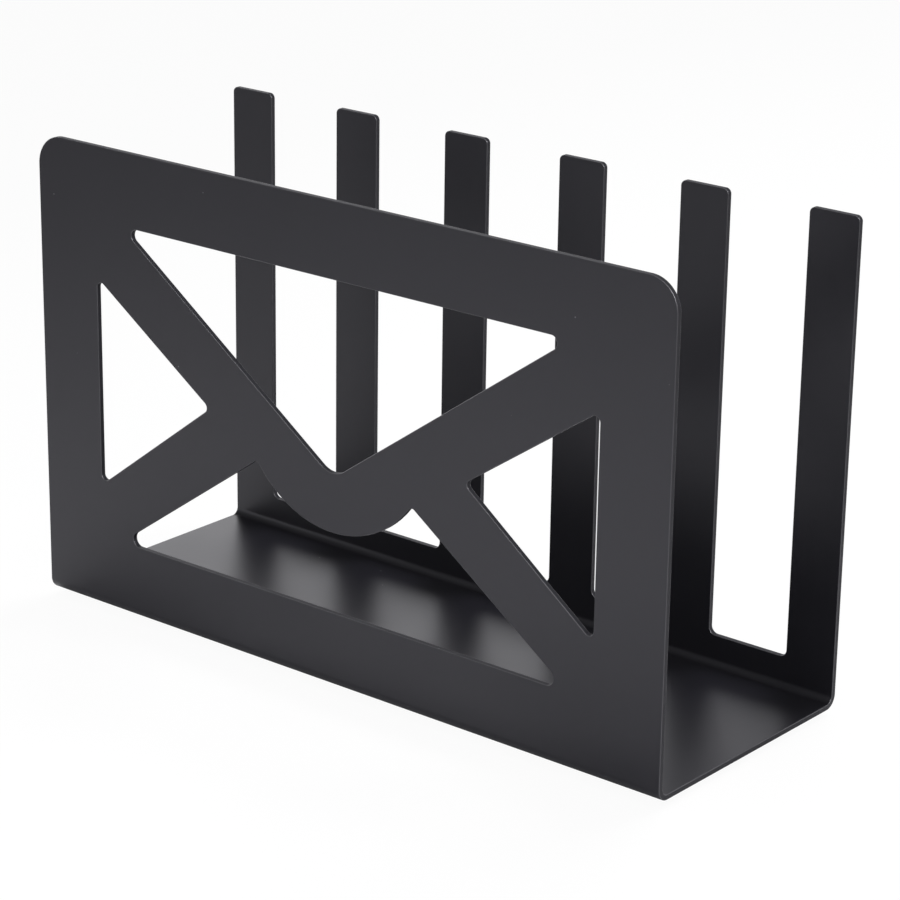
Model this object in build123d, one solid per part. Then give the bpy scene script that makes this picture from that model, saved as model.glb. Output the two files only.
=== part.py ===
from build123d import *
import math
import os

# Mail holder: one bent steel sheet with a cut-out front wall, standing on four stick-on pads.
# Millimetres. +X runs along the walls, the cut-out front wall faces -Y, +Z is up.
# The origin is on the table under the middle of the holder.

# The sheet, as cut and bent
LENGTH = 250.0
DEPTH = 92.0
WALL_HEIGHT = 156.0
SHEET = 1.8
BEND_INSIDE_RADIUS = 2.5

# The front wall, an envelope seen from its back. Heights are above the underside of the sheet.
FRONT_CORNER_RADIUS = 10.0
TOP_BORDER = 24.2
SIDE_BORDER = 25.1
BOTTOM_BORDER = 25.3
FLAP_SIDE_MARGIN = 36.2
LOWER_SIDE_MARGIN = 33.5
LOWER_PEAK_HEIGHT = 89.7
FLAP_TIP_DROP = 20.5
SEAL_RADIUS = 38.1
UPPER_STRAP_AT_BORDER = 21.7
UPPER_STRAP_AT_MIDDLE = 19.7
LOWER_STRAP_AT_BORDER = 19.4
LOWER_STRAP_AT_MIDDLE = 23.6
FLAP_TIP_RADIUS = 8.0
FLAP_CORNER_RADIUS = 2.2
SIDE_CORNER_RADIUS = 1.8
LOWER_CORNER_RADIUS = 2.6
SEAL_CORNER_RADIUS = 1.5

# The rear wall, a low band with plain uprights
UPRIGHT_COUNT = 6
UPRIGHT_WIDTH = 17.5
BAND_HEIGHT = 12.0
UPRIGHT_CORNER_RADIUS = 1.8
GAP_CORNER_RADIUS = 2.4

# The pads and the adhesive discs that hold them
PAD_DIAMETER = 12.0
PAD_FOOT_DIAMETER = 11.2
PAD_HEIGHT = 2.0
PAD_EDGE_BEVEL = 0.4
ADHESIVE_DIAMETER = 10.6
ADHESIVE_THICKNESS = 0.2
PAD_INSET = 17.0

# Worked out from the sizes above
UNDERSIDE = PAD_HEIGHT + ADHESIVE_THICKNESS
WALL_TOP = UNDERSIDE + WALL_HEIGHT
HALF_LENGTH = LENGTH / 2
HALF_DEPTH = DEPTH / 2
CUT_OVERRUN = 2 * SHEET


def wall_plane(y):
    """A drawing plane that stands across the depth: its x runs along the wall and its y runs up."""
    return Plane(origin=(0, y, UNDERSIDE), x_dir=(1, 0, 0), z_dir=(0, -1, 0))


def line_height(start, end, x):
    """The height at x of the straight line through two points."""
    return start[1] + (end[1] - start[1]) * (x - start[0]) / (end[0] - start[0])


def crossing(a, b, c, d):
    """The point where the line through a and b meets the line through c and d."""
    slope_one = (b[1] - a[1]) / (b[0] - a[0])
    slope_two = (d[1] - c[1]) / (d[0] - c[0])
    x = (c[1] - a[1] + slope_one * a[0] - slope_two * c[0]) / (slope_one - slope_two)
    return (x, a[1] + slope_one * (x - a[0]))


def round_corners(sketch, corners):
    """Rounds corners of a flat outline. Each entry of corners is a corner's place and its radius."""
    for x, y, radius in corners:
        corner = sketch.vertices().sort_by_distance((x, y, 0))[0]
        sketch = fillet(corner, radius)
    return sketch


def flap_opening():
    """The large opening above the flap: flat on top, with two long edges that meet in a round tip."""
    half_width = HALF_LENGTH - FLAP_SIDE_MARGIN
    top = WALL_HEIGHT - TOP_BORDER
    tip = LOWER_PEAK_HEIGHT - FLAP_TIP_DROP
    left, right, low = (-half_width, top), (half_width, top), (0, tip)
    outline = make_face(Polyline(left, right, low, close=True))
    radii = [(*left, FLAP_CORNER_RADIUS), (*right, FLAP_CORNER_RADIUS), (*low, FLAP_TIP_RADIUS)]
    return round_corners(outline, radii)


def lower_opening():
    """The opening along the bottom: two edges rise towards one peak, where the round seal fills it."""
    half_width = HALF_LENGTH - LOWER_SIDE_MARGIN
    left, right, peak = (-half_width, BOTTOM_BORDER), (half_width, BOTTOM_BORDER), (0, LOWER_PEAK_HEIGHT)
    rise = math.atan2(peak[1] - left[1], half_width)
    shoulder = (SEAL_RADIUS * math.cos(rise), LOWER_PEAK_HEIGHT - SEAL_RADIUS * math.sin(rise))
    outline = make_face(Polyline(left, right, peak, close=True))
    outline = outline - Pos(*peak) * Circle(SEAL_RADIUS)
    radii = [
        (*left, LOWER_CORNER_RADIUS),
        (*right, LOWER_CORNER_RADIUS),
        (-shoulder[0], shoulder[1], SEAL_CORNER_RADIUS),
        (shoulder[0], shoulder[1], SEAL_CORNER_RADIUS),
    ]
    return round_corners(outline, radii)


def side_opening():
    """The right-hand triangle, between the border, the strap under the flap and the lower strap."""
    border = HALF_LENGTH - SIDE_BORDER
    flap = ((0, LOWER_PEAK_HEIGHT - FLAP_TIP_DROP), (HALF_LENGTH - FLAP_SIDE_MARGIN, WALL_HEIGHT - TOP_BORDER))
    lower = ((HALF_LENGTH - LOWER_SIDE_MARGIN, BOTTOM_BORDER), (0, LOWER_PEAK_HEIGHT))
    flap_lean = math.atan2(flap[1][1] - flap[0][1], flap[1][0] - flap[0][0])
    lower_lean = math.atan2(lower[1][1] - lower[0][1], lower[0][0] - lower[1][0])
    top = (border, line_height(*flap, border) - UPPER_STRAP_AT_BORDER / math.cos(flap_lean))
    low = (border, line_height(*lower, border) + LOWER_STRAP_AT_BORDER / math.cos(lower_lean))
    top_end = (0, flap[0][1] - UPPER_STRAP_AT_MIDDLE / math.cos(flap_lean))
    low_end = (0, lower[1][1] + LOWER_STRAP_AT_MIDDLE / math.cos(lower_lean))
    point = crossing(top, top_end, low, low_end)
    outline = make_face(Polyline(top, low, point, close=True))
    return round_corners(outline, [(*corner, SIDE_CORNER_RADIUS) for corner in (top, low, point)])


def rear_gap():
    """One gap between two uprights, open at the top, with round corners where it meets the band."""
    width = (LENGTH - UPRIGHT_COUNT * UPRIGHT_WIDTH) / (UPRIGHT_COUNT - 1)
    height = WALL_HEIGHT - BAND_HEIGHT + CUT_OVERRUN
    outline = Pos(0, BAND_HEIGHT + height / 2) * Rectangle(width, height)
    corners = [(side * width / 2, BAND_HEIGHT, GAP_CORNER_RADIUS) for side in (-1, 1)]
    return round_corners(outline, corners)


def through_wall(outline, side):
    """The solid that cuts an outline through the front wall (side -1) or the rear wall (side 1)."""
    middle = side * (HALF_DEPTH - SHEET / 2)
    return extrude(wall_plane(middle) * outline, CUT_OVERRUN, both=True)


def bent_sheet():
    """The U that the flat sheet makes once both walls are bent up, before anything is cut in it."""
    outer, inner = HALF_DEPTH, HALF_DEPTH - SHEET
    floor = UNDERSIDE + SHEET
    section = make_face(
        Polyline(
            (-outer, WALL_TOP),
            (-outer, UNDERSIDE),
            (outer, UNDERSIDE),
            (outer, WALL_TOP),
            (inner, WALL_TOP),
            (inner, floor),
            (-inner, floor),
            (-inner, WALL_TOP),
            close=True,
        )
    )
    outside = BEND_INSIDE_RADIUS + SHEET
    bends = [(-outer, UNDERSIDE, outside), (outer, UNDERSIDE, outside)]
    bends += [(-inner, floor, BEND_INSIDE_RADIUS), (inner, floor, BEND_INSIDE_RADIUS)]
    return extrude(Plane.YZ * round_corners(section, bends), HALF_LENGTH, both=True)


def top_corners(sheet, side):
    """The short edges through the sheet at the top of the front wall (-1) or the rear wall (1)."""
    through = sheet.edges().filter_by(Axis.Y).group_by(Axis.Z)[-1]
    return [edge for edge in through if edge.center().Y * side > 0]


def holder_body():
    """The whole bent sheet: front wall with the envelope, base, and rear wall with its uprights."""
    sheet = bent_sheet()
    for outline in (flap_opening(), lower_opening(), side_opening(), mirror(side_opening(), Plane.YZ)):
        sheet = sheet - through_wall(outline, -1)
    pitch = (LENGTH - UPRIGHT_WIDTH) / (UPRIGHT_COUNT - 1)
    first_gap = (UPRIGHT_WIDTH + pitch) / 2 - HALF_LENGTH
    for number in range(UPRIGHT_COUNT - 1):
        sheet = sheet - through_wall(Pos(first_gap + number * pitch, 0) * rear_gap(), 1)
    sheet = fillet(top_corners(sheet, -1), FRONT_CORNER_RADIUS)
    return fillet(top_corners(sheet, 1), UPRIGHT_CORNER_RADIUS)


def pad():
    """A moulded pad, a little narrower at its foot, with a bevelled foot edge."""
    foot, top = PAD_FOOT_DIAMETER / 2, PAD_DIAMETER / 2
    outline = make_face(Polyline((0, 0), (foot, 0), (top, PAD_HEIGHT), (0, PAD_HEIGHT), close=True))
    foot_corner = outline.vertices().sort_by_distance((foot, 0, 0))[0]
    return revolve(Plane.XZ * chamfer(foot_corner, PAD_EDGE_BEVEL), Axis.Z)


def adhesive():
    """The thin disc of adhesive between a pad and the underside of the sheet."""
    return extrude(Plane.XY.offset(PAD_HEIGHT) * Circle(ADHESIVE_DIAMETER / 2), ADHESIVE_THICKNESS)


os.makedirs("parts", exist_ok=True)
export_step(holder_body(), "parts/holder_body.step")
for depth_name, depth_side in (("front", -1), ("rear", 1)):
    for side_name, side in (("left", -1), ("right", 1)):
        place = Pos(side * (HALF_LENGTH - PAD_INSET), depth_side * (HALF_DEPTH - PAD_INSET), 0)
        export_step(place * pad(), f"parts/pad_{depth_name}_{side_name}.step")
        export_step(place * adhesive(), f"parts/adhesive_{depth_name}_{side_name}.step")
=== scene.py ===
# %% [markdown]
# # A mail holder folded from one steel sheet
#
# The real holder is a single sheet, cut by laser, bent twice into a U and powder coated black. Four small
# rubber pads keep it from sliding. The construction model already has every size, so this lesson is about
# what that model can't show: the rounded rim that the coating leaves on each cut edge, the satin black
# finish, the rubber, and a calm white studio.
#
# The first cell loads the construction model. Its parts stay where they are, and everything below is
# placed from them, in metres.

# %% Load the construction model
import math

import bmesh
import bpy
from mathutils import Matrix, Vector


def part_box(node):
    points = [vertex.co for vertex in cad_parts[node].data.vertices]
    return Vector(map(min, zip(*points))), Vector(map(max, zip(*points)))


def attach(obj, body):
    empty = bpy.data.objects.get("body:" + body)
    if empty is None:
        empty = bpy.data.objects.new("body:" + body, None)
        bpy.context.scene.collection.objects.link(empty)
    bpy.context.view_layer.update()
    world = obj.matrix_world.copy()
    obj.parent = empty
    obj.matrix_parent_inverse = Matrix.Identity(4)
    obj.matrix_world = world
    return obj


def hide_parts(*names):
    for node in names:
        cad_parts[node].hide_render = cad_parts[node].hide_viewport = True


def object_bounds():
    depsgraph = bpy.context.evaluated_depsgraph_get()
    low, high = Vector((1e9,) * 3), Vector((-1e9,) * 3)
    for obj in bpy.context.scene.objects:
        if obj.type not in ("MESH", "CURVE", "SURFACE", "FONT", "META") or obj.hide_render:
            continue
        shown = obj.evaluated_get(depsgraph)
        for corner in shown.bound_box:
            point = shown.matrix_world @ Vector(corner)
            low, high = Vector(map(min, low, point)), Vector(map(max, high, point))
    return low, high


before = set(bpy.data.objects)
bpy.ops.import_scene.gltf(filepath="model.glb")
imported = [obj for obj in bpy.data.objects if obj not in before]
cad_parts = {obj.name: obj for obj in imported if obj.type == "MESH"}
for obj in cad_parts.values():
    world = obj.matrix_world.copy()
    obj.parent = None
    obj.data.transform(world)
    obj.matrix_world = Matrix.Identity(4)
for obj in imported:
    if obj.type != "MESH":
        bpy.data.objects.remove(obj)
CAD_LOW, CAD_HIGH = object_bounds()
print("parts:", ", ".join(sorted(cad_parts)))
print("size in millimetres:", [round(side * 1000, 1) for side in CAD_HIGH - CAD_LOW])

# %% [markdown]
# ## One unit and a few helpers for node trees
#
# Small sizes are easier to read in millimetres, while Blender works in metres, so one constant turns one
# into the other. A material is a graph of nodes. Built by hand in the editor it is drawn with the mouse;
# in code a short helper that adds a node and fills its inputs keeps each graph as readable as a drawing.
#
# Four kinds of node come back in almost every finish, so each has a helper of its own: a cloudy noise of a
# real size, a blend of two colours, a value spread over a range, and a bump.

# %% Unit and node helpers
MM = 0.001
WHITE = (1, 1, 1, 1)


def add_node(tree, kind, inputs=None, **settings):
    """Adds a node, sets its properties, and fills inputs with values or with other nodes' outputs."""
    node = tree.nodes.new(kind)
    for name, value in settings.items():
        setattr(node, name, value)
    for name, value in (inputs or {}).items():
        if isinstance(value, bpy.types.NodeSocket):
            tree.links.new(value, node.inputs[name])
        else:
            node.inputs[name].default_value = value
    return node


def noise(tree, place, size, detail):
    """A cloudy value from 0 to 1, in clouds about as wide as size."""
    inputs = {"Vector": place, "Scale": 1 / size, "Detail": detail}
    return add_node(tree, "ShaderNodeTexNoise", inputs).outputs[0]


def blend(tree, share, first, second):
    """A colour between first, where share is 0, and second, where it is 1."""
    inputs = {"Factor": share, "A": first, "B": second}
    return add_node(tree, "ShaderNodeMix", inputs, data_type="RGBA").outputs["Result"]


def spread(tree, value, low, high):
    """A value from 0 to 1, spread over the range from low to high."""
    inputs = {"Value": value, "To Min": low, "To Max": high}
    return add_node(tree, "ShaderNodeMapRange", inputs).outputs[0]


def bump(tree, height, strength, depth, over=None):
    """A normal tilted as if the surface rose by up to depth, on top of another bump if one is given."""
    inputs = {"Height": height, "Strength": strength, "Distance": depth}
    if over is not None:
        inputs["Normal"] = over
    return add_node(tree, "ShaderNodeBump", inputs).outputs[0]


def new_material(name):
    """A material whose graph holds only its output node, ready to be filled."""
    material = bpy.data.materials.new(name)
    material.use_nodes = True
    material.node_tree.nodes.clear()
    output = material.node_tree.nodes.new("ShaderNodeOutputMaterial")
    return material, material.node_tree, output


print("one millimetre is", MM, "of Blender's units")

# %% [markdown]
# ## The camera
#
# The photograph looks down on the holder from its front right, from about a metre away, through a long
# lens: the far end of the front wall is only a little shorter than the near end. The place, the aim and
# the lens come from matching the straight edges of both walls and the base. The camera was also held a
# little off level, so after aiming it is turned about its own line of sight.

# %% Camera
CAMERA_PLACE = Vector((0.5925, -0.7138, 0.3942))
CAMERA_AIM = Vector((0.0072, 0.0013, 0.0699))
CAMERA_ROLL = math.radians(0.84)
LENS_MM = 125.3
NEAREST_SEEN, FARTHEST_SEEN = 0.01, 50.0


def make_camera():
    """A camera that looks from CAMERA_PLACE to CAMERA_AIM, turned by CAMERA_ROLL."""
    camera = bpy.data.objects.new("photo_camera", bpy.data.cameras.new("photo_camera"))
    bpy.context.scene.collection.objects.link(camera)
    camera.data.lens = LENS_MM
    camera.data.clip_start, camera.data.clip_end = NEAREST_SEEN, FARTHEST_SEEN
    aim = (CAMERA_AIM - CAMERA_PLACE).to_track_quat("-Z", "Y").to_matrix().to_4x4()
    camera.matrix_world = Matrix.Translation(CAMERA_PLACE) @ aim @ Matrix.Rotation(CAMERA_ROLL, 4, "Z")
    bpy.context.scene.camera = camera
    return camera


camera = make_camera()
bpy.context.scene.view_settings.view_transform = "Standard"
print(camera.name, "stands", round((CAMERA_AIM - CAMERA_PLACE).length, 3), "metres from what it looks at")

# %% [markdown]
# ## The studio
#
# Black satin paint has hardly any colour of its own: what one sees is mostly the room, mirrored and
# blurred. The holder was photographed in a white tent, so the room has to be white too. The world is white
# for the camera. In reflections it is white near the horizon and dim overhead, where a real tent ends. Its
# edge leans, as the open side of a tent does, so the white reaches higher behind the holder than in front of
# it. As a source of soft light the world is a little below white, because a lamp adds the rest. Light Path
# tells the shader what kind of ray is asking.

# %% World
SKY_LIGHT = 0.76
SKY_TINT = (0.97, 0.965, 1.0, 1)
HORIZON_MIRRORED = 1.08
ZENITH_MIRRORED = 0.1
TENT_LEAN = math.radians(12)
TENT_AXIS = (0.0, -math.sin(TENT_LEAN), math.cos(TENT_LEAN))
WHITE_ENDS = math.sin(math.radians(16))
DIM_STARTS = math.sin(math.radians(32))


def make_world():
    """White for the camera, a dimming tent for reflections, and SKY_LIGHT as a source of soft light."""
    world = bpy.data.worlds.new("white_tent")
    world.use_nodes = True
    tree = world.node_tree
    tree.nodes.clear()
    path = add_node(tree, "ShaderNodeLightPath")
    direction = add_node(tree, "ShaderNodeTexCoord").outputs["Generated"]
    height = add_node(tree, "ShaderNodeVectorMath", {0: direction, 1: TENT_AXIS}, operation="DOT_PRODUCT")
    dimming = add_node(tree, "ShaderNodeMapRange",
                       {"Value": height.outputs["Value"], "From Min": WHITE_ENDS, "From Max": DIM_STARTS,
                        "To Min": HORIZON_MIRRORED, "To Max": ZENITH_MIRRORED})
    level = add_node(tree, "ShaderNodeMix",
                     {"Factor": path.outputs["Is Glossy Ray"], "A": SKY_LIGHT, "B": dimming.outputs[0]})
    tent = add_node(tree, "ShaderNodeBackground", {"Color": SKY_TINT, "Strength": level.outputs["Result"]})
    backdrop = add_node(tree, "ShaderNodeBackground", {"Color": WHITE, "Strength": 1.0})
    straight = add_node(tree, "ShaderNodeMath",
                        {0: path.outputs["Is Camera Ray"], 1: path.outputs["Is Transmission Ray"]},
                        operation="MAXIMUM")
    mix = add_node(tree, "ShaderNodeMixShader",
                   {0: straight.outputs[0], 1: tent.outputs[0], 2: backdrop.outputs[0]})
    add_node(tree, "ShaderNodeOutputWorld", {"Surface": mix.outputs[0]})
    bpy.context.scene.world = world


make_world()
print("soft light", SKY_LIGHT, "mirrored from", HORIZON_MIRRORED, "at the horizon to", ZENITH_MIRRORED)

# %% [markdown]
# ## The floor's paper
#
# The photograph has no horizon and hardly a shadow: the holder stands on white, matt paper. The front wall
# mirrors hardly anything but this paper, so the wall's tones are the paper's. The paper's colour carries a
# painted pool of light: white close to the holder and painted grey with distance, as under a real lamp, which
# lets the wall grey gently towards its far top corner. Distance behind the holder counts only up to a limit,
# so that the back doesn't turn black. A very faint bump stands for the paper's fibres. For the camera the
# paper is lifted most of the way to white, and only a soft trace of the shadow stays.

# %% Paper
PAPER_COLOUR = (0.94, 0.94, 0.94, 1)
# The paper greys from white near one point to grey further out: a painted pool of light, not the paper's own
# colour.
PAPER_PAINTED_SHADE_COLOUR = (0.30, 0.30, 0.30, 1)
PAINTED_LIGHT_POOL_CENTRE = (0.04, -0.31, 0.0)
PAPER_REACH_BEHIND = (9.0, 0.34, 0.0)
PAPER_WHITE_TO, PAPER_GREY_FROM = 0.14, 0.65
PAPER_ROUGHNESS = 0.9
PAPER_SHINE = 0.2
FIBRE_SCALE, FIBRE_DETAIL = 900.0, 2.0
FIBRE_STRENGTH, FIBRE_DEPTH = 0.05, 0.1 * MM
FLOOR_LIFT_SEEN = 0.95


def white_paper():
    """Matt white paper with a painted pool of light that greys with distance, lifted towards white for the
    camera.
    """
    material, tree, output = new_material("white_paper")
    place = add_node(tree, "ShaderNodeTexCoord").outputs["Object"]
    offset = add_node(tree, "ShaderNodeVectorMath", {0: place, 1: PAINTED_LIGHT_POOL_CENTRE}, operation="SUBTRACT")
    counted = add_node(tree, "ShaderNodeVectorMath", {0: offset.outputs[0], 1: PAPER_REACH_BEHIND},
                       operation="MINIMUM")
    distance = add_node(tree, "ShaderNodeVectorMath", {0: counted.outputs[0]}, operation="LENGTH")
    # Painted light falloff: the share of painted shade grows with distance from the pool's centre.
    painted_falloff = add_node(tree, "ShaderNodeMapRange",
                       {"Value": distance.outputs["Value"],
                        "From Min": PAPER_WHITE_TO, "From Max": PAPER_GREY_FROM})
    colour = blend(tree, painted_falloff.outputs[0], PAPER_COLOUR, PAPER_PAINTED_SHADE_COLOUR)
    fibres = add_node(tree, "ShaderNodeTexNoise", {"Scale": FIBRE_SCALE, "Detail": FIBRE_DETAIL})
    uneven = bump(tree, fibres.outputs[0], FIBRE_STRENGTH, FIBRE_DEPTH)
    paper = add_node(tree, "ShaderNodeBsdfPrincipled",
                     {"Base Color": colour, "Roughness": PAPER_ROUGHNESS,
                      "Specular IOR Level": PAPER_SHINE, "Normal": uneven})
    white = add_node(tree, "ShaderNodeEmission", {"Color": WHITE, "Strength": 1.0})
    path = add_node(tree, "ShaderNodeLightPath")
    lift = add_node(tree, "ShaderNodeMath", {0: path.outputs["Is Camera Ray"], 1: FLOOR_LIFT_SEEN},
                    operation="MULTIPLY")
    mix = add_node(tree, "ShaderNodeMixShader",
                   {0: lift.outputs[0], 1: paper.outputs[0], 2: white.outputs[0]})
    tree.links.new(mix.outputs[0], output.inputs["Surface"])
    return material


PAPER = white_paper()
print("the paper's graph has", len(PAPER.node_tree.nodes), "nodes")

# %% [markdown]
# ## The floor
#
# The floor is a flat disc at the height of the pads' feet, so wide that its edge is never in view. A plane
# would do as well, but a disc ends at the same distance on all sides.

# %% Floor
FLOOR_RADIUS = 6.0
FLOOR_SEGMENTS = 96


def make_floor():
    """A flat disc under the pads."""
    mesh = bpy.data.meshes.new("studio_floor")
    disc = bmesh.new()
    bmesh.ops.create_circle(disc, cap_ends=True, segments=FLOOR_SEGMENTS, radius=FLOOR_RADIUS)
    disc.to_mesh(mesh)
    disc.free()
    floor = bpy.data.objects.new("studio_floor", mesh)
    bpy.context.scene.collection.objects.link(floor)
    floor.location.z = CAD_LOW.z
    mesh.materials.append(PAPER)
    return floor


floor = make_floor()
print("the floor lies at", round(floor.location.z * 1000, 3), "mm")

# %% [markdown]
# ## The lamps
#
# The tent lights everything evenly. What it can't do is draw the thin bright lines along the rims, because
# each line is the mirror image of a lamp. So every glint box has its place from one rim: two are mirrored in
# the long edges of the flap, and two in the round top corner on the right. If they lit the paper as well, its
# reflection would spoil the calm grey of the front wall, so they only light what mirrors. The base box does
# the same, for the pale left end of the base. The lamp over the paper does the opposite. It hangs behind the
# holder, so that the paper is a little darker along the foot of the front wall.

# %% Lamps
LAMPS = {
    "paper_soft_box": {"place": (0.05, 0.55, 1.0), "size": 0.6, "power": 15.0, "lights": "paper"},
    "base_soft_box": {"place": (-0.52, 0.51, 0.24), "size": 0.4, "power": 0.5, "lights": "coat"},
    "flap_left_glint_box": {"place": (0.15, -0.9, 1.1), "size": 0.3, "power": 7.0, "lights": "coat"},
    "flap_right_glint_box": {"place": (-1.45, -0.2, 0.32), "size": 0.35, "power": 3.0, "lights": "coat"},
    "corner_side_glint_box": {"place": (1.25, -0.4, 0.42), "size": 0.35, "power": 3.0, "lights": "coat"},
    "corner_high_glint_box": {"place": (0.96, -0.27, 0.90), "size": 0.4, "power": 34.0, "lights": "coat"},
}
LAMP_AIM = Vector((0.0, 0.0, 0.07))


def make_lamp(name, place, size, power, lights):
    """A square soft box that faces the holder and lights either the paper or the coat."""
    lamp = bpy.data.objects.new(name, bpy.data.lights.new(name, "AREA"))
    bpy.context.scene.collection.objects.link(lamp)
    lamp.data.shape = "SQUARE"
    lamp.data.size = size
    lamp.data.energy = power
    lamp.visible_camera = False
    lamp.visible_diffuse = lights == "paper"
    lamp.visible_glossy = lights == "coat"
    lamp.location = place
    lamp.rotation_euler = (LAMP_AIM - Vector(place)).to_track_quat("-Z", "Y").to_euler()
    return lamp


for lamp_name, lamp_facts in LAMPS.items():
    make_lamp(lamp_name, **lamp_facts)
print("lamps:", ", ".join(f"{name} {facts['power']} W" for name, facts in LAMPS.items()))

# %% [markdown]
# ## Powder coat
#
# Powder coat is a thick plastic skin, sprayed on as dust and melted in an oven. It is nearly black, it
# mirrors the room dimly, and its surface is never quite flat: a slow swell called orange peel, a fine
# grain on top of it, and here and there a speck. From a cut edge the molten powder draws back a little and
# leaves a thinner skin, which is duller on the cut face itself. The rims are painted paler, partly for that
# thinner skin and partly as a painted highlight along every edge. The mesh will carry how much of a rim each
# point is, as a value named rim, and the cut faces get a duller coat from the same graph.
# One could paint all that as an image, but a procedure in real sizes stays sharp at any distance and wraps
# round bends and edges with no seams.

# %% Powder coat material
COAT_COLOUR = (0.0058, 0.0056, 0.0080, 1)
COAT_WORN_COLOUR = (0.0080, 0.0078, 0.0105, 1)
COAT_MIRROR_TINT = (0.94, 0.93, 1.0, 1)
# Rims are paler partly because the coat is thinner there and partly as a painted highlight along every edge.
RIM_THIN_COAT_AND_HIGHLIGHT_COLOUR = (0.060, 0.060, 0.064, 1)
SPECK_COLOUR = (0.12, 0.12, 0.13, 1)
COAT_IOR = 1.5
COAT_ROUGHNESS, COAT_SHINE = (0.34, 0.40), 0.5
CUT_FACE_ROUGHNESS, CUT_FACE_SHINE = (0.50, 0.56), 0.25
CLOUD_SIZE, CLOUD_DETAIL = 45 * MM, 3.0
PEEL_SIZE, PEEL_DETAIL = 2.2 * MM, 1.0
PEEL_STRENGTH, PEEL_DEPTH = 0.25, 0.03 * MM
GRAIN_SIZE, GRAIN_DETAIL = 0.35 * MM, 2.0
GRAIN_STRENGTH, GRAIN_DEPTH = 0.35, 0.012 * MM
SPECK_SPACING = 16 * MM
SPECK_SIZE = 0.26 * MM


def powder_coat(name, roughness, shine):
    """Black powder coat: clouded roughness, orange peel, fine grain, rims paler for their thinner skin and a
    painted highlight, and a few specks.
    """
    material, tree, output = new_material(name)
    place = add_node(tree, "ShaderNodeTexCoord").outputs["Object"]
    cloud = noise(tree, place, CLOUD_SIZE, CLOUD_DETAIL)
    peel = noise(tree, place, PEEL_SIZE, PEEL_DETAIL)
    grain = noise(tree, place, GRAIN_SIZE, GRAIN_DETAIL)
    clouded = blend(tree, cloud, COAT_COLOUR, COAT_WORN_COLOUR)
    rim = add_node(tree, "ShaderNodeAttribute", attribute_name="rim")
    # Rims blend towards the pale rim colour: thinner coat plus a painted highlight.
    thin_rim_and_highlight = blend(tree, rim.outputs["Fac"], clouded, RIM_THIN_COAT_AND_HIGHLIGHT_COLOUR)
    cells = add_node(tree, "ShaderNodeTexVoronoi", {"Vector": place, "Scale": 1 / SPECK_SPACING})
    speck = add_node(tree, "ShaderNodeMath",
                     {0: cells.outputs["Distance"], 1: SPECK_SIZE / SPECK_SPACING}, operation="LESS_THAN")
    speckled = blend(tree, speck.outputs[0], thin_rim_and_highlight, SPECK_COLOUR)
    swell = bump(tree, peel, PEEL_STRENGTH, PEEL_DEPTH)
    rough = bump(tree, grain, GRAIN_STRENGTH, GRAIN_DEPTH, over=swell)
    shader = add_node(tree, "ShaderNodeBsdfPrincipled",
                      {"Base Color": speckled, "Roughness": spread(tree, cloud, *roughness),
                       "IOR": COAT_IOR, "Specular IOR Level": shine, "Specular Tint": COAT_MIRROR_TINT,
                       "Normal": rough})
    tree.links.new(shader.outputs[0], output.inputs["Surface"])
    return material


POWDER_COAT = powder_coat("satin_black_coat", COAT_ROUGHNESS, COAT_SHINE)
CUT_FACE_COAT = powder_coat("dull_black_coat", CUT_FACE_ROUGHNESS, CUT_FACE_SHINE)
print("powder coat nodes:", len(POWDER_COAT.node_tree.nodes))

# %% [markdown]
# ## The flat pattern
#
# In the workshop the holder starts as a flat pattern on a sheet of steel. A laser cuts its outline and
# openings, and only then is it bent. One could copy the construction model's mesh and bevel its edges, but
# its round corners are made of few flat facets, and a bevel over many short edges is fragile. So the sheet
# is made here as in the workshop: drawn flat, given its thickness, then bent.
#
# The overall size is read from the construction model, and the rest are the drawing's own sizes in
# millimetres. Heights are measured from the underside of the sheet.

# %% Sizes of the drawing
BODY_LOW, BODY_HIGH = (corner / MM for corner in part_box("holder_body"))
HALF_LENGTH = (BODY_HIGH.x - BODY_LOW.x) / 2
HALF_DEPTH = (BODY_HIGH.y - BODY_LOW.y) / 2
UNDERSIDE = BODY_LOW.z
WALL_HEIGHT = BODY_HIGH.z - BODY_LOW.z

SHEET = 1.8
BEND_INSIDE = 2.5
BEND_OUTSIDE = BEND_INSIDE + SHEET

FRONT_CORNER_RADIUS = 10.0
FLAP_CORNER, FLAP_CORNER_RADIUS = Vector((88.8, 131.8)), 2.2
FLAP_TIP, FLAP_TIP_RADIUS = Vector((0.0, 69.2)), 8.0
SIDE_TOP, SIDE_LOW, SIDE_POINT = Vector((99.9, 113.075)), Vector((99.9, 43.111)), Vector((51.168, 79.915))
SIDE_CORNER_RADIUS = 1.8
LOWER_CORNER, LOWER_CORNER_RADIUS = Vector((91.5, 25.3)), 2.6
PEAK = Vector((0.0, 89.7))
SEAL_RADIUS = 38.1
SEAL_CORNER_RADIUS = 1.5

UPRIGHTS = 6
UPRIGHT_WIDTH = 17.5
BAND_HEIGHT = 12.0
UPRIGHT_CORNER_RADIUS = 1.8
GAP_CORNER_RADIUS = 2.4
print(f"the holder is {2 * HALF_LENGTH:.1f} long, {2 * HALF_DEPTH:.1f} deep and {WALL_HEIGHT:.1f} mm high")

# %% [markdown]
# ## Round corners by a formula
#
# Every outline here is straight lines joined by arcs. Each arc touches both of its lines, so its centre
# lies on the line that halves the corner, and its ends follow from the angle. Writing that once gives
# every corner of the part, outward or inward, from three points and a radius.

# %% Arcs and round corners
ARC_STEP = math.radians(4.5)
FEWEST_ARC_STEPS = 4


def mirrored(point):
    """The same point on the left half of the drawing."""
    return Vector((-point.x, point.y))


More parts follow.
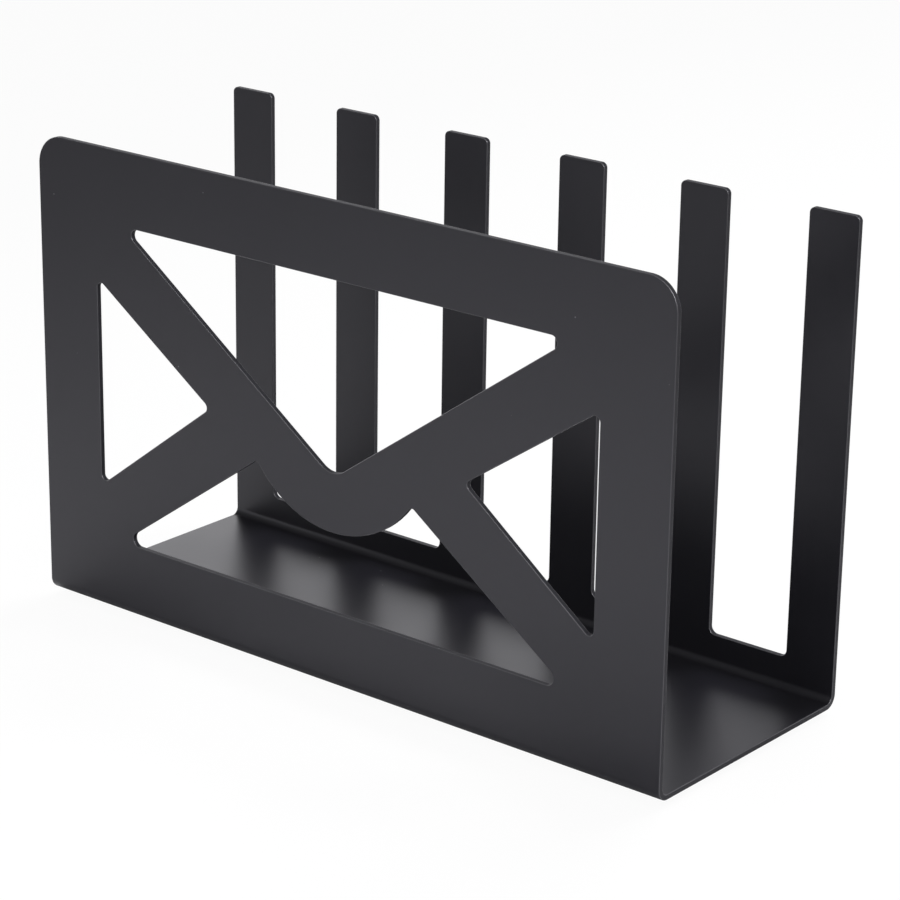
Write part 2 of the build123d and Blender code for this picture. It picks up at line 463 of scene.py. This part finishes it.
def arc(centre, first, last, widest_step=ARC_STEP):
    """Points along the shorter arc about centre from first to last, both ends included."""
    start = math.atan2(first.y - centre.y, first.x - centre.x)
    end = math.atan2(last.y - centre.y, last.x - centre.x)
    turn = (end - start + math.pi) % math.tau - math.pi
    steps = max(FEWEST_ARC_STEPS, math.ceil(abs(turn) / widest_step))
    radius = (first - centre).length
    angles = (start + turn * step / steps for step in range(steps + 1))
    return [centre + radius * Vector((math.cos(angle), math.sin(angle))) for angle in angles]


def round_corner(before, corner, after, radius, widest_step=ARC_STEP):
    """The arc that replaces a corner between its two neighbours."""
    back, on = (before - corner).normalized(), (after - corner).normalized()
    half = back.angle(on) / 2
    centre = corner + (back + on).normalized() * radius / math.sin(half)
    reach = radius / math.tan(half)
    return arc(centre, corner + back * reach, corner + on * reach, widest_step)


def rounded(corners):
    """A closed outline through (corner, radius) pairs, each corner made round."""
    outline = []
    for index, (corner, radius) in enumerate(corners):
        before, after = corners[index - 1][0], corners[(index + 1) % len(corners)][0]
        outline += round_corner(before, corner, after, radius)
    return outline


print("an arc of 90 degrees gets", len(arc(Vector((0, 0)), Vector((1, 0)), Vector((0, 1)))), "points")

# %% [markdown]
# ## The envelope in the front wall
#
# The front wall is a picture made of openings: the big V is the flap, two slim triangles are the sides,
# and the opening along the bottom runs up to the round seal. Its edges aim at the seal's centre, so the
# small corner between edge and seal is an arc that touches a line and a circle, and Pythagoras gives its
# centre.

# %% Openings of the front wall
def flap_opening():
    """The opening above the flap."""
    corners = [(mirrored(FLAP_CORNER), FLAP_CORNER_RADIUS), (FLAP_CORNER, FLAP_CORNER_RADIUS)]
    return rounded(corners + [(FLAP_TIP, FLAP_TIP_RADIUS)])


def side_opening(side):
    """The slim triangle on the right (1) or on the left (-1)."""
    corners = (SIDE_TOP, SIDE_LOW, SIDE_POINT)
    return rounded([(Vector((side * corner.x, corner.y)), SIDE_CORNER_RADIUS) for corner in corners])


def seal_shoulder():
    """The right-hand arc between the long edge of the bottom opening and the seal."""
    along = (LOWER_CORNER - PEAK).normalized()
    inward = Vector((along.y, -along.x))
    reach = math.sqrt((SEAL_RADIUS + SEAL_CORNER_RADIUS) ** 2 - SEAL_CORNER_RADIUS ** 2)
    centre = PEAK + along * reach + inward * SEAL_CORNER_RADIUS
    return arc(centre, PEAK + along * reach, PEAK + (centre - PEAK).normalized() * SEAL_RADIUS)


def lower_opening():
    """The opening along the bottom, with the seal's arc hanging into it."""
    left, right = mirrored(LOWER_CORNER), LOWER_CORNER
    shoulder = seal_shoulder()
    other_shoulder = [mirrored(point) for point in reversed(shoulder)]
    seal_bottom = PEAK - Vector((0, SEAL_RADIUS))
    seal = arc(PEAK, shoulder[-1], seal_bottom)[1:] + arc(PEAK, seal_bottom, other_shoulder[0])[1:-1]
    left_corner = round_corner(PEAK, left, right, LOWER_CORNER_RADIUS)
    right_corner = round_corner(left, right, PEAK, LOWER_CORNER_RADIUS)
    return left_corner + right_corner + shoulder + seal + other_shoulder


FRONT_OPENINGS = [flap_opening(), side_opening(1), side_opening(-1), lower_opening()]
print("points in each opening:", [len(outline) for outline in FRONT_OPENINGS])

# %% [markdown]
# ## Laying both walls flat
#
# On the flat pattern the base is in the middle, the front wall lies on one side of it and the rear wall on
# the other, and a strip between wall and base will become the bend. The strip is as long as the middle of
# the sheet's thickness in the bend, because that layer neither stretches nor shrinks.

# %% Outline of the flat sheet
FLAT_BASE = HALF_DEPTH - BEND_OUTSIDE
BEND_STRIP = (BEND_INSIDE + SHEET / 2) * math.pi / 2
FRONT, REAR = -1, 1


def laid_flat(point, wall):
    """Where a point of an upright wall lies on the flat pattern."""
    return Vector((point.x, wall * (FLAT_BASE + BEND_STRIP + point.y - BEND_OUTSIDE)))


def rear_comb():
    """The corners of the rear wall from right to left: plain uprights on a low band."""
    gap = (2 * HALF_LENGTH - UPRIGHTS * UPRIGHT_WIDTH) / (UPRIGHTS - 1)
    corners = []
    for number in range(UPRIGHTS):
        right = HALF_LENGTH - number * (UPRIGHT_WIDTH + gap)
        left = right - UPRIGHT_WIDTH
        if number > 0:
            corners.append((Vector((right, BAND_HEIGHT)), GAP_CORNER_RADIUS))
        corners.append((Vector((right, WALL_HEIGHT)), UPRIGHT_CORNER_RADIUS))
        corners.append((Vector((left, WALL_HEIGHT)), UPRIGHT_CORNER_RADIUS))
        if number < UPRIGHTS - 1:
            corners.append((Vector((left, BAND_HEIGHT)), GAP_CORNER_RADIUS))
    return corners


def sheet_outline():
    """The outside of the flat pattern: the front wall's round top corners, then the rear comb."""
    top = Vector((HALF_LENGTH, WALL_HEIGHT))
    front = [(mirrored(top), FRONT_CORNER_RADIUS), (top, FRONT_CORNER_RADIUS)]
    corners = [(laid_flat(corner, FRONT), radius) for corner, radius in front]
    corners += [(laid_flat(corner, REAR), radius) for corner, radius in rear_comb()]
    return rounded(corners)


FLAT_OUTLINES = [sheet_outline()]
FLAT_OUTLINES += [[laid_flat(point, FRONT) for point in outline] for outline in FRONT_OPENINGS]
print("the flat pattern is", round(2 * laid_flat(Vector((0, WALL_HEIGHT)), REAR).y, 1), "mm from top to top")

# %% [markdown]
# ## Thickness and rims
#
# A flat curve in Blender can be filled, thickened and rimmed by its own settings, which is just what
# cutting and coating do here. Extrude gives the thickness and Bevel the rim. Molten powder flows over each
# cut edge and leaves it round, and those thin rims are what catches the light, so they are worth real
# geometry. The bevel grows outwards by itself, and the offset takes that growth back.

# %% From outlines to a solid sheet
RIM_RADIUS = 0.26
RIM_STEPS = 3
WELD = 0.0005


def solid_sheet(name, outlines):
    """The mesh of a flat sheet with rounded rims, in millimetres, its middle layer at z = 0."""
    curve = bpy.data.curves.new(name, "CURVE")
    curve.dimensions, curve.fill_mode = "2D", "BOTH"
    curve.extrude = SHEET / 2 - RIM_RADIUS
    curve.bevel_depth, curve.bevel_resolution = RIM_RADIUS, RIM_STEPS
    curve.offset = -RIM_RADIUS
    for outline in outlines:
        spline = curve.splines.new("POLY")
        spline.points.add(len(outline) - 1)
        for point, place in zip(spline.points, outline):
            point.co = (place.x, place.y, 0, 1)
        spline.use_cyclic_u = True
    carrier = bpy.data.objects.new(name, curve)
    mesh = bpy.data.meshes.new_from_object(carrier)
    bpy.data.objects.remove(carrier)
    return mesh


flat_mesh = solid_sheet("flat_sheet", FLAT_OUTLINES)
print("the flat sheet has", len(flat_mesh.polygons), "faces")

# %% [markdown]
# ## Bending
#
# A press brake turns each wall up by ninety degrees and stretches only the strip between wall and base. The
# same happens here by a formula for a single point: how far it lies beyond the base gives its angle, and
# how deep it lies in the sheet gives its radius. Before that the strips are sliced across, because a
# mesh can only bend where it has edges. While the sheet is still flat, it is also easy to tell which points
# lie on a rim and which faces were cut, so both are noted for the coat.

# %% Bent sheet
BEND_SLICES = 14


def bent(point):
    """Where a point of the flat sheet goes once both walls are bent up, in millimetres."""
    beyond = abs(point.y) - FLAT_BASE
    angle = min(max(beyond / BEND_STRIP, 0), 1) * math.pi / 2
    radius = BEND_OUTSIDE - (point.z + SHEET / 2)
    depth = FLAT_BASE + min(beyond, 0) + radius * math.sin(angle)
    height = UNDERSIDE + BEND_OUTSIDE - radius * math.cos(angle) + max(beyond - BEND_STRIP, 0)
    return Vector((point.x, math.copysign(depth, point.y), height))


def rim_share(height):
    """How much of a rim a point at this height in the flat sheet is: 1 in mid-rim, 0 on both its borders."""
    lean = (abs(height) - (SHEET / 2 - RIM_RADIUS)) / RIM_RADIUS
    return math.sin(2 * math.asin(min(max(lean, 0), 1)))


def is_cut_face(face):
    """Whether a face of the flat sheet lies between the two rims of a cut edge."""
    return abs(face.calc_center_median().z) < SHEET / 2 - RIM_RADIUS


def bend_sheet(mesh):
    """Welds the mesh, slices its bend strips, bends it and turns millimetres into metres."""
    shape = bmesh.new()
    shape.from_mesh(mesh)
    bmesh.ops.remove_doubles(shape, verts=shape.verts, dist=WELD)
    for wall in (FRONT, REAR):
        for number in range(BEND_SLICES + 1):
            place = wall * (FLAT_BASE + BEND_STRIP * number / BEND_SLICES)
            everything = shape.verts[:] + shape.edges[:] + shape.faces[:]
            bmesh.ops.bisect_plane(shape, geom=everything, dist=WELD,
                                   plane_co=(0, place, 0), plane_no=(0, 1, 0))
    for face in shape.faces:
        face.smooth = True
        face.material_index = int(is_cut_face(face))
    rim = shape.verts.layers.float.new("rim")
    for vertex in shape.verts:
        vertex[rim] = rim_share(vertex.co.z)
        vertex.co = bent(vertex.co) * MM
    bmesh.ops.recalc_face_normals(shape, faces=shape.faces)
    open_edges = sum(1 for edge in shape.edges if not edge.is_manifold)
    shape.to_mesh(mesh)
    shape.free()
    return open_edges


open_edges = bend_sheet(flat_mesh)
print("the bent sheet has", len(flat_mesh.polygons), "faces and", open_edges, "open edges")

# %% [markdown]
# ## The coated sheet
#
# The bent mesh becomes the piece that stands for the construction model's body. With smooth shading, each
# point's normal is the mean of the faces round it, so a large flat face would look dented close to a thin
# rim. One could split the mesh at its sharp edges, but then the rims would look creased. The Weighted Normal
# modifier lets the large faces decide instead: the flats stay flat, and only the rims look round.

# %% Coated sheet
LARGE_FACES_LEAD = 100


def coated_sheet(mesh):
    """The bent and coated sheet, as one piece."""
    piece = bpy.data.objects.new("bent_sheet", mesh)
    bpy.context.scene.collection.objects.link(piece)
    for coat in (POWDER_COAT, CUT_FACE_COAT):
        mesh.materials.append(coat)
    weigh = piece.modifiers.new("flat_faces_lead", "WEIGHTED_NORMAL")
    weigh.weight = LARGE_FACES_LEAD
    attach(piece, "root")
    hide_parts("holder_body")
    return piece


sheet = coated_sheet(flat_mesh)
print(sheet.name, "is", [round(side * 1000, 1) for side in sheet.dimensions], "mm")

# %% [markdown]
# ## Rubber and adhesive
#
# The pads are moulded from black rubber. Rubber is matt because its surface is finely rough, and handling
# leaves paler, duller areas on it. Two noises give both: a large one drives colour and gloss, a small one the
# grain. The adhesive is a film of clear acrylic that looks milky where it is pressed between two surfaces. It
# only shows as a thin pale line, so a soft, slightly see-through plastic is enough.

# %% Materials of the pads
RUBBER_COLOUR = (0.016, 0.016, 0.017, 1)
RUBBER_DUSTY_COLOUR = (0.034, 0.033, 0.032, 1)
RUBBER_ROUGHNESS = (0.62, 0.85)
RUBBER_IOR = 1.5
RUBBER_PATCH, RUBBER_PATCH_DETAIL = 4 * MM, 3.0
RUBBER_GRAIN, RUBBER_GRAIN_DETAIL = 0.18 * MM, 2.0
RUBBER_GRAIN_STRENGTH, RUBBER_GRAIN_DEPTH = 0.5, 0.04 * MM
ADHESIVE_COLOUR = (0.70, 0.69, 0.64, 1)
ADHESIVE_HAZY_COLOUR = (0.82, 0.81, 0.78, 1)
ADHESIVE_ROUGHNESS = 0.35
ADHESIVE_IOR = 1.47
ADHESIVE_CLEARNESS = 0.25
ADHESIVE_PATCH, ADHESIVE_PATCH_DETAIL = 1.5 * MM, 2.0
ADHESIVE_PATCH_STRENGTH, ADHESIVE_PATCH_DEPTH = 0.3, 0.02 * MM


def pad_rubber():
    """Matt black rubber with paler patches and a fine grain."""
    material, tree, output = new_material("moulded_rubber")
    place = add_node(tree, "ShaderNodeTexCoord").outputs["Object"]
    patch = noise(tree, place, RUBBER_PATCH, RUBBER_PATCH_DETAIL)
    grain = noise(tree, place, RUBBER_GRAIN, RUBBER_GRAIN_DETAIL)
    shader = add_node(tree, "ShaderNodeBsdfPrincipled",
                      {"Base Color": blend(tree, patch, RUBBER_COLOUR, RUBBER_DUSTY_COLOUR),
                       "Roughness": spread(tree, patch, *RUBBER_ROUGHNESS), "IOR": RUBBER_IOR,
                       "Normal": bump(tree, grain, RUBBER_GRAIN_STRENGTH, RUBBER_GRAIN_DEPTH)})
    tree.links.new(shader.outputs[0], output.inputs["Surface"])
    return material


def pad_adhesive():
    """Milky acrylic film, hazier in patches."""
    material, tree, output = new_material("acrylic_film")
    place = add_node(tree, "ShaderNodeTexCoord").outputs["Object"]
    patch = noise(tree, place, ADHESIVE_PATCH, ADHESIVE_PATCH_DETAIL)
    shader = add_node(tree, "ShaderNodeBsdfPrincipled",
                      {"Base Color": blend(tree, patch, ADHESIVE_COLOUR, ADHESIVE_HAZY_COLOUR),
                       "Roughness": ADHESIVE_ROUGHNESS, "IOR": ADHESIVE_IOR,
                       "Transmission Weight": ADHESIVE_CLEARNESS,
                       "Normal": bump(tree, patch, ADHESIVE_PATCH_STRENGTH, ADHESIVE_PATCH_DEPTH)})
    tree.links.new(shader.outputs[0], output.inputs["Surface"])
    return material


PAD_RUBBER, PAD_ADHESIVE = pad_rubber(), pad_adhesive()
print("pad materials:", PAD_RUBBER.name, "and", PAD_ADHESIVE.name)

# %% [markdown]
# ## Turned pieces
#
# A pad is a low disc, a little narrower at its foot so that it leaves its mould, with a round foot edge that
# keeps the rubber from peeling. Such a piece is only half a cross-section swept round its axis, which is what
# the Spin tool does. The corners of the section reuse the round-corner formula from above.

# %% Section and spin
SPIN_STEPS = 72
EDGE_STEP = math.radians(15)
PAD_FOOT_RADIUS = 5.6
PAD_FOOT_EDGE = 0.45
PAD_TOP_EDGE = 0.15
ADHESIVE_EDGE = 0.08


def disc_section(foot_radius, top_radius, height, foot_edge, top_edge):
    """Half the cross-section of a disc, from its axis at the foot to its axis at the top."""
    low, high = Vector((0, 0)), Vector((0, height))
    foot, top = Vector((foot_radius, 0)), Vector((top_radius, height))
    foot_arc = round_corner(low, foot, top, foot_edge, EDGE_STEP)
    top_arc = round_corner(foot, top, high, top_edge, EDGE_STEP)
    return [low] + foot_arc + top_arc + [high]


def turned(name, section):
    """A mesh that the section makes when it is spun round the vertical axis, in metres."""
    shape = bmesh.new()
    points = [shape.verts.new((point.x * MM, 0, point.y * MM)) for point in section]
    lines = [shape.edges.new(pair) for pair in zip(points, points[1:])]
    bmesh.ops.spin(shape, geom=points + lines, cent=(0, 0, 0), axis=(0, 0, 1),
                   angle=math.tau, steps=SPIN_STEPS)
    bmesh.ops.remove_doubles(shape, verts=shape.verts, dist=WELD * MM)
    bmesh.ops.recalc_face_normals(shape, faces=shape.faces)
    for face in shape.faces:
        face.smooth = True
    mesh = bpy.data.meshes.new(name)
    shape.to_mesh(mesh)
    shape.free()
    return mesh


def box_size(node):
    """The width and height of a construction part's box, in millimetres."""
    low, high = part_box(node)
    return (high.x - low.x) / MM, (high.z - low.z) / MM


PAD_WIDTH, PAD_HEIGHT = box_size("pad_front_left")
ADHESIVE_WIDTH, ADHESIVE_HEIGHT = box_size("adhesive_front_left")
pad_section = disc_section(PAD_FOOT_RADIUS, PAD_WIDTH / 2, PAD_HEIGHT, PAD_FOOT_EDGE, PAD_TOP_EDGE)
FILM_RADIUS = ADHESIVE_WIDTH / 2
film_section = disc_section(FILM_RADIUS, FILM_RADIUS, ADHESIVE_HEIGHT, ADHESIVE_EDGE, ADHESIVE_EDGE)
PAD_MESH, FILM_MESH = turned("rubber", pad_section), turned("film", film_section)
PAD_MESH.materials.append(PAD_RUBBER)
FILM_MESH.materials.append(PAD_ADHESIVE)
print("a pad has", len(PAD_MESH.polygons), "faces, a film has", len(FILM_MESH.polygons))

# %% [markdown]
# ## Four pads, four films
#
# The pads are all alike, so they share one mesh: each object only adds its own place. A change to the mesh
# then reaches all four, as a change to the mould would. The places come from the construction parts that
# these pieces stand for.

# %% Place pads and films
def place_disc(mesh, node):
    """Puts a turned piece where a construction part is, and lets it stand for that part."""
    low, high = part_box(node)
    piece = bpy.data.objects.new(f"{mesh.name}_{node}", mesh)
    bpy.context.scene.collection.objects.link(piece)
    piece.location = ((low.x + high.x) / 2, (low.y + high.y) / 2, low.z)
    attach(piece, "root")
    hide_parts(node)


CORNERS = ("front_left", "front_right", "rear_left", "rear_right")
for corner in CORNERS:
    place_disc(PAD_MESH, f"pad_{corner}")
    place_disc(FILM_MESH, f"adhesive_{corner}")
print("pads and films placed:", ", ".join(CORNERS))
